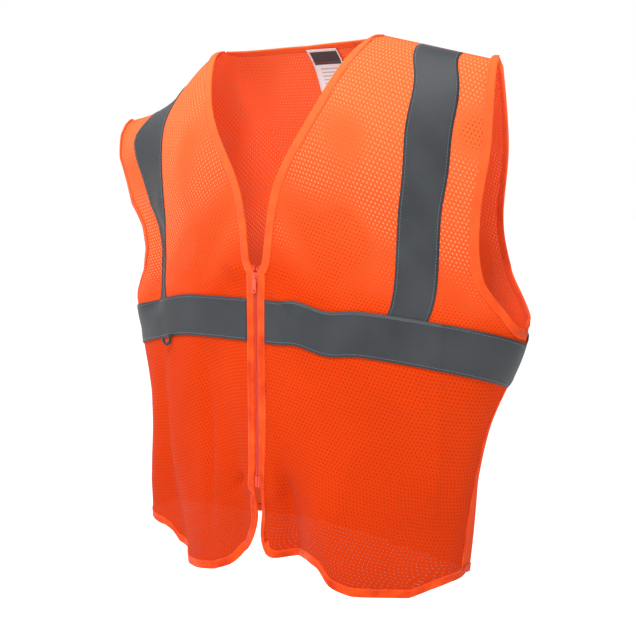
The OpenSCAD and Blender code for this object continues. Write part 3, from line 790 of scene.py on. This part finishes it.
for side, word in SIDES:
    for f, face in ((-1, "front"), (1, "back")):
        rows = np.concatenate([arch_rows(44), np.linspace(-184, -296, 30)])
        across = np.linspace(0, 1, 12)
        # seen from the front the tape narrows as it turns away with the body
        wide = TAPE_W - 4.5 * ramp(0, -50, rows) - 4.5 * ramp(-60, -260, rows)
        inner = (TAPE_X - 0.03 * rows - 0.0004 * rows ** 2
                 - 15 * bell(rows, 0, 30) - 3 * bell(rows, -95, 40))
        x = inner[:, None] + wide[:, None] * across[None, :]
        z = rows[:, None] + shoulder_z(x) * arch_fade(rows)[:, None]
        u = to_u(x, np.minimum(z, 0))
        last = ramp(-184, -296, rows)[:, None]
        z = z + last * (belt_top(u) - 8 - z) * (rows[:, None] <= -184)
        tape("%s_%s_tape_visual" % (word, face), side * u, z, f, SKIN + 0.55,
             ["%s_%s_tape" % (word, face)], 0, False)
    cols = np.linspace(to_u(GAP + 9.8, -320), QUARTER, 120)
    down = np.linspace(0, TAPE_W, 12)
    tape(word + "_belt_visual", side * cols[None, :] + 0 * down[:, None],
         belt_top(cols)[None, :] - down[:, None], -1, SKIN + 1.35,
         [word + "_belt", word + "_side_belt"], side, True)
cols = np.linspace(-QUARTER, QUARTER, 200)
down = np.linspace(0, TAPE_W, 12)
tape("back_belt_visual", cols[None, :] + 0 * down[:, None],
     belt_top(cols)[None, :] - down[:, None], 1, SKIN + 1.35, ["back_belt"], 0, True)


# -------------------------------------------------------------------- seams
def tube(name, path, r, mat, sides=8):
    t = unit(np.gradient(path, axis=0))
    a = unit(np.cross(t, np.array([0.0, 1.0, 0.0])))
    b = np.cross(t, a)
    ang = np.linspace(0, 2 * math.pi, sides, endpoint=False)
    return sweep(name, path, b, a, [(r * math.cos(q), r * math.sin(q)) for q in ang], mat)


for side, word in SIDES:
    x = np.linspace(NECK + 8, SHOULDER - 8, 60)
    z = shoulder_z(x) - 0.05
    p = shape(side * to_u(x, z), z, -1)
    ob = tube(word + "_shoulder_seam_visual", p + np.array([0, 0, 0.6]), 1.0, BINDING)
    keep(ob, [word + "_shoulder_seam"])
    z = np.linspace(-ARMHOLE - 2, -LENGTH + 4, 120)
    p = shape(side * QUARTER + 0 * z, z, -1)
    ob = tube(word + "_side_seam_visual", p + np.array([side * 0.6, 0, 0]), 1.1, BINDING)
    keep(ob, [word + "_side_seam"])

# ---------------------------------------------------------------------- zip
zip_top, zip_low = -V_DEPTH - 2, -V_DEPTH - ZIP_LEN
for side, word in SIDES:
    flap = word + "_front"
    z = np.linspace(-V_DEPTH + 6, zip_low + 1, 90)
    xx = np.linspace(2.6, 13.5, 4)
    g = np.stack(np.broadcast_arrays(side * xx[None, :], ZIP_Y + 1.3, z[:, None]), -1)
    nrm = np.zeros_like(g)
    nrm[..., 1] = -1
    ob = slab(word + "_zip_tape_visual", g, nrm, 0, 0.5, ZIP_TAPE, grid_uv(g, 0), flip=side < 0)
    keep(ob, [word + "_zip_tape"], 0, flap)
    # moulded teeth, the two rows half a pitch apart
    pts, faces = [], []
    zs = np.arange(zip_top - 12 - (0 if side > 0 else ZIP_PITCH / 2), zip_low, -ZIP_PITCH)
    box = np.array([(side * x, y, q) for q in (-0.55, 0.55) for x, y in
                    ((0.3, -0.7), (0.7, -1.05), (2.6, -1.05), (2.9, -0.8),
                     (2.9, 0.8), (2.6, 1.05), (0.7, 1.05), (0.3, 0.7))])
    for n, zt in enumerate(zs):
        pts.append(box + np.array([0, ZIP_Y + 0.4, zt]))
        k = 16 * n
        faces.append([k + i for i in range(8)][::-1])
        faces.append([k + 8 + i for i in range(8)])
        for i in range(8):
            faces.append([k + i, k + (i + 1) % 8, k + 8 + (i + 1) % 8, k + 8 + i])
    ob = mesh_object(word + "_zip_teeth_visual", np.concatenate(pts), faces, TEETH, smooth_on=False)
    if side < 0:
        ob.data.flip_normals()
    keep(ob, [word + "_zip_coil"], 0, flap)

for name, mat in (("slider", SLIDER), ("pull_tab", SLIDER), ("retainer_box", TEETH),
                  ("insertion_pin", TEETH), ("left_top_stop", TEETH), ("right_top_stop", TEETH)):
    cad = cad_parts[name]
    cad.data.materials.clear()
    cad.data.materials.append(mat)


# -------------------------------------------------------------------- label
def label_part(name, top, bottom, v0, body):
    """Part of the label between two heights; v0 is where it starts on the label."""
    x = np.linspace(-4, -4 + LABEL_W, 16)
    z = np.linspace(top, bottom, 24)
    down = (z - top) / LABEL_FALL
    uu = to_u(x[None, :] + 0 * z[:, None], z[:, None])
    zz = z[:, None] + 0 * uu
    nrm = normal(uu, zz, 1)
    p = shape(uu, zz, 1) - nrm * (2.0 + 5 * ramp(-22, -62, zz)[..., None])
    uv = np.stack(np.broadcast_arrays(x[None, :] + 4, down[:, None] + v0), -1)
    ob = slab(name, p, nrm, -0.15, 0.15, LABEL, uv, flip=True)
    return keep(ob, ["neck_label"] if body == "label" else (), 0, body), p


label_free = LABEL_LEN - LABEL_SEWN
label, p = label_part("label_visual", LABEL_FOLD, LABEL_FOLD - LABEL_FALL * label_free,
                      -LABEL_SEWN, "label")
fold_strip, _ = label_part("label_fold_visual", LABEL_TOP, LABEL_FOLD + 0.4, 0.0, "vest")
sheets.append([label, None, (LABEL_W / 1000, label_free / 1000), []])
sheets[2][3].append(fold_strip)

# --------------------------------------------------------------- side loop
lo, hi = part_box("side_loop")
mid = (np.array(lo) + np.array(hi)) / 2 * 1000
t = np.linspace(-0.35 * math.pi, 1.15 * math.pi, 40)
ring = mid + np.stack([4.4 * np.cos(t), 1.5 * np.cos(t), -1 - 6.4 * np.sin(t)], -1)
loop = tube("side_loop_visual", ring, 1.9, CORD, 10)
keep(loop, ["side_loop"])

# ------------------------------------------------------------- flat sizes of the tapes, worked out and left unused
for ob, area, flat, pieces in sheets:
    if flat is None:
        # a tape: its length follows from its area
        flat, area = (TAPE_W / 1000, area / (TAPE_W / 1000)), None

# -------------------------------------------------------------------- stage
scene = bpy.context.scene
floor_mat = Nodes("floor", (0.93, 0.93, 0.93), rough=0.95, spec=0.05)
floor_mat.glow((1.0, 1.0, 1.0), 0.42)
bpy.ops.mesh.primitive_plane_add(size=60, location=(0, 0, -1.5))
floor = bpy.context.object
floor.name = "floor"
floor.data.materials.append(floor_mat.mat)

world = bpy.data.worlds.new("studio")
scene.world = world
world.use_nodes = True
sky = world.node_tree
place = sky.nodes.new("ShaderNodeTexCoord")
facing = sky.nodes.new("ShaderNodeVectorMath")
facing.operation = "DOT_PRODUCT"
facing.inputs[1].default_value = (-0.6, 0.8, -0.1)
level = sky.nodes.new("ShaderNodeMapRange")
level.interpolation_type = "SMOOTHSTEP"
for key, value in enumerate((0.0, 0.55, 0.58, 1.0), 1):
    level.inputs[key].default_value = value
sky.links.new(place.outputs["Generated"], facing.inputs[0])
sky.links.new(facing.outputs["Value"], level.inputs[0])
sky.links.new(level.outputs[0], sky.nodes["Background"].inputs[1])
sky.nodes["Background"].inputs[0].default_value = (1, 1, 1, 1)


def soft_light(name, place, target, size, power):
    data = bpy.data.lights.new(name, "AREA")
    data.shape = "DISK"
    data.size = size
    data.energy = power
    ob = bpy.data.objects.new(name, data)
    ob.location = place
    aim = Vector(target) - Vector(place)
    ob.rotation_euler = aim.to_track_quat("-Z", "Y").to_euler()
    scene.collection.objects.link(ob)


soft_light("key", (0.5, -1.7, 1.8), (0, 0, -0.1), 0.9, 70)
soft_light("top", (-1.2, -0.6, 1.9), (0, 0, -0.1), 1.0, 20)

# ------------------------------------------------------------------- camera
AZ, DIST, HEIGHT, TURN, PITCH = 37.65, 1217.0, -157.0, -0.72, -8.1
cam_data = bpy.data.cameras.new("camera")
cam_data.sensor_width = 36
cam_data.lens = 55.8
cam = bpy.data.objects.new("camera", cam_data)
a, b, e = math.radians(AZ), math.radians(AZ + TURN), math.radians(PITCH)
cam.location = (DIST * math.sin(a) / 1000, (-DIST * math.cos(a) + 13.4) / 1000, HEIGHT / 1000)
look = Vector((-math.sin(b) * math.cos(e), math.cos(b) * math.cos(e), math.sin(e)))
cam.rotation_euler = look.to_track_quat("-Z", "Y").to_euler()
cam_data.clip_start, cam_data.clip_end = 0.05, 100
scene.collection.objects.link(cam)
scene.camera = cam
scene.view_settings.view_transform = "Standard"
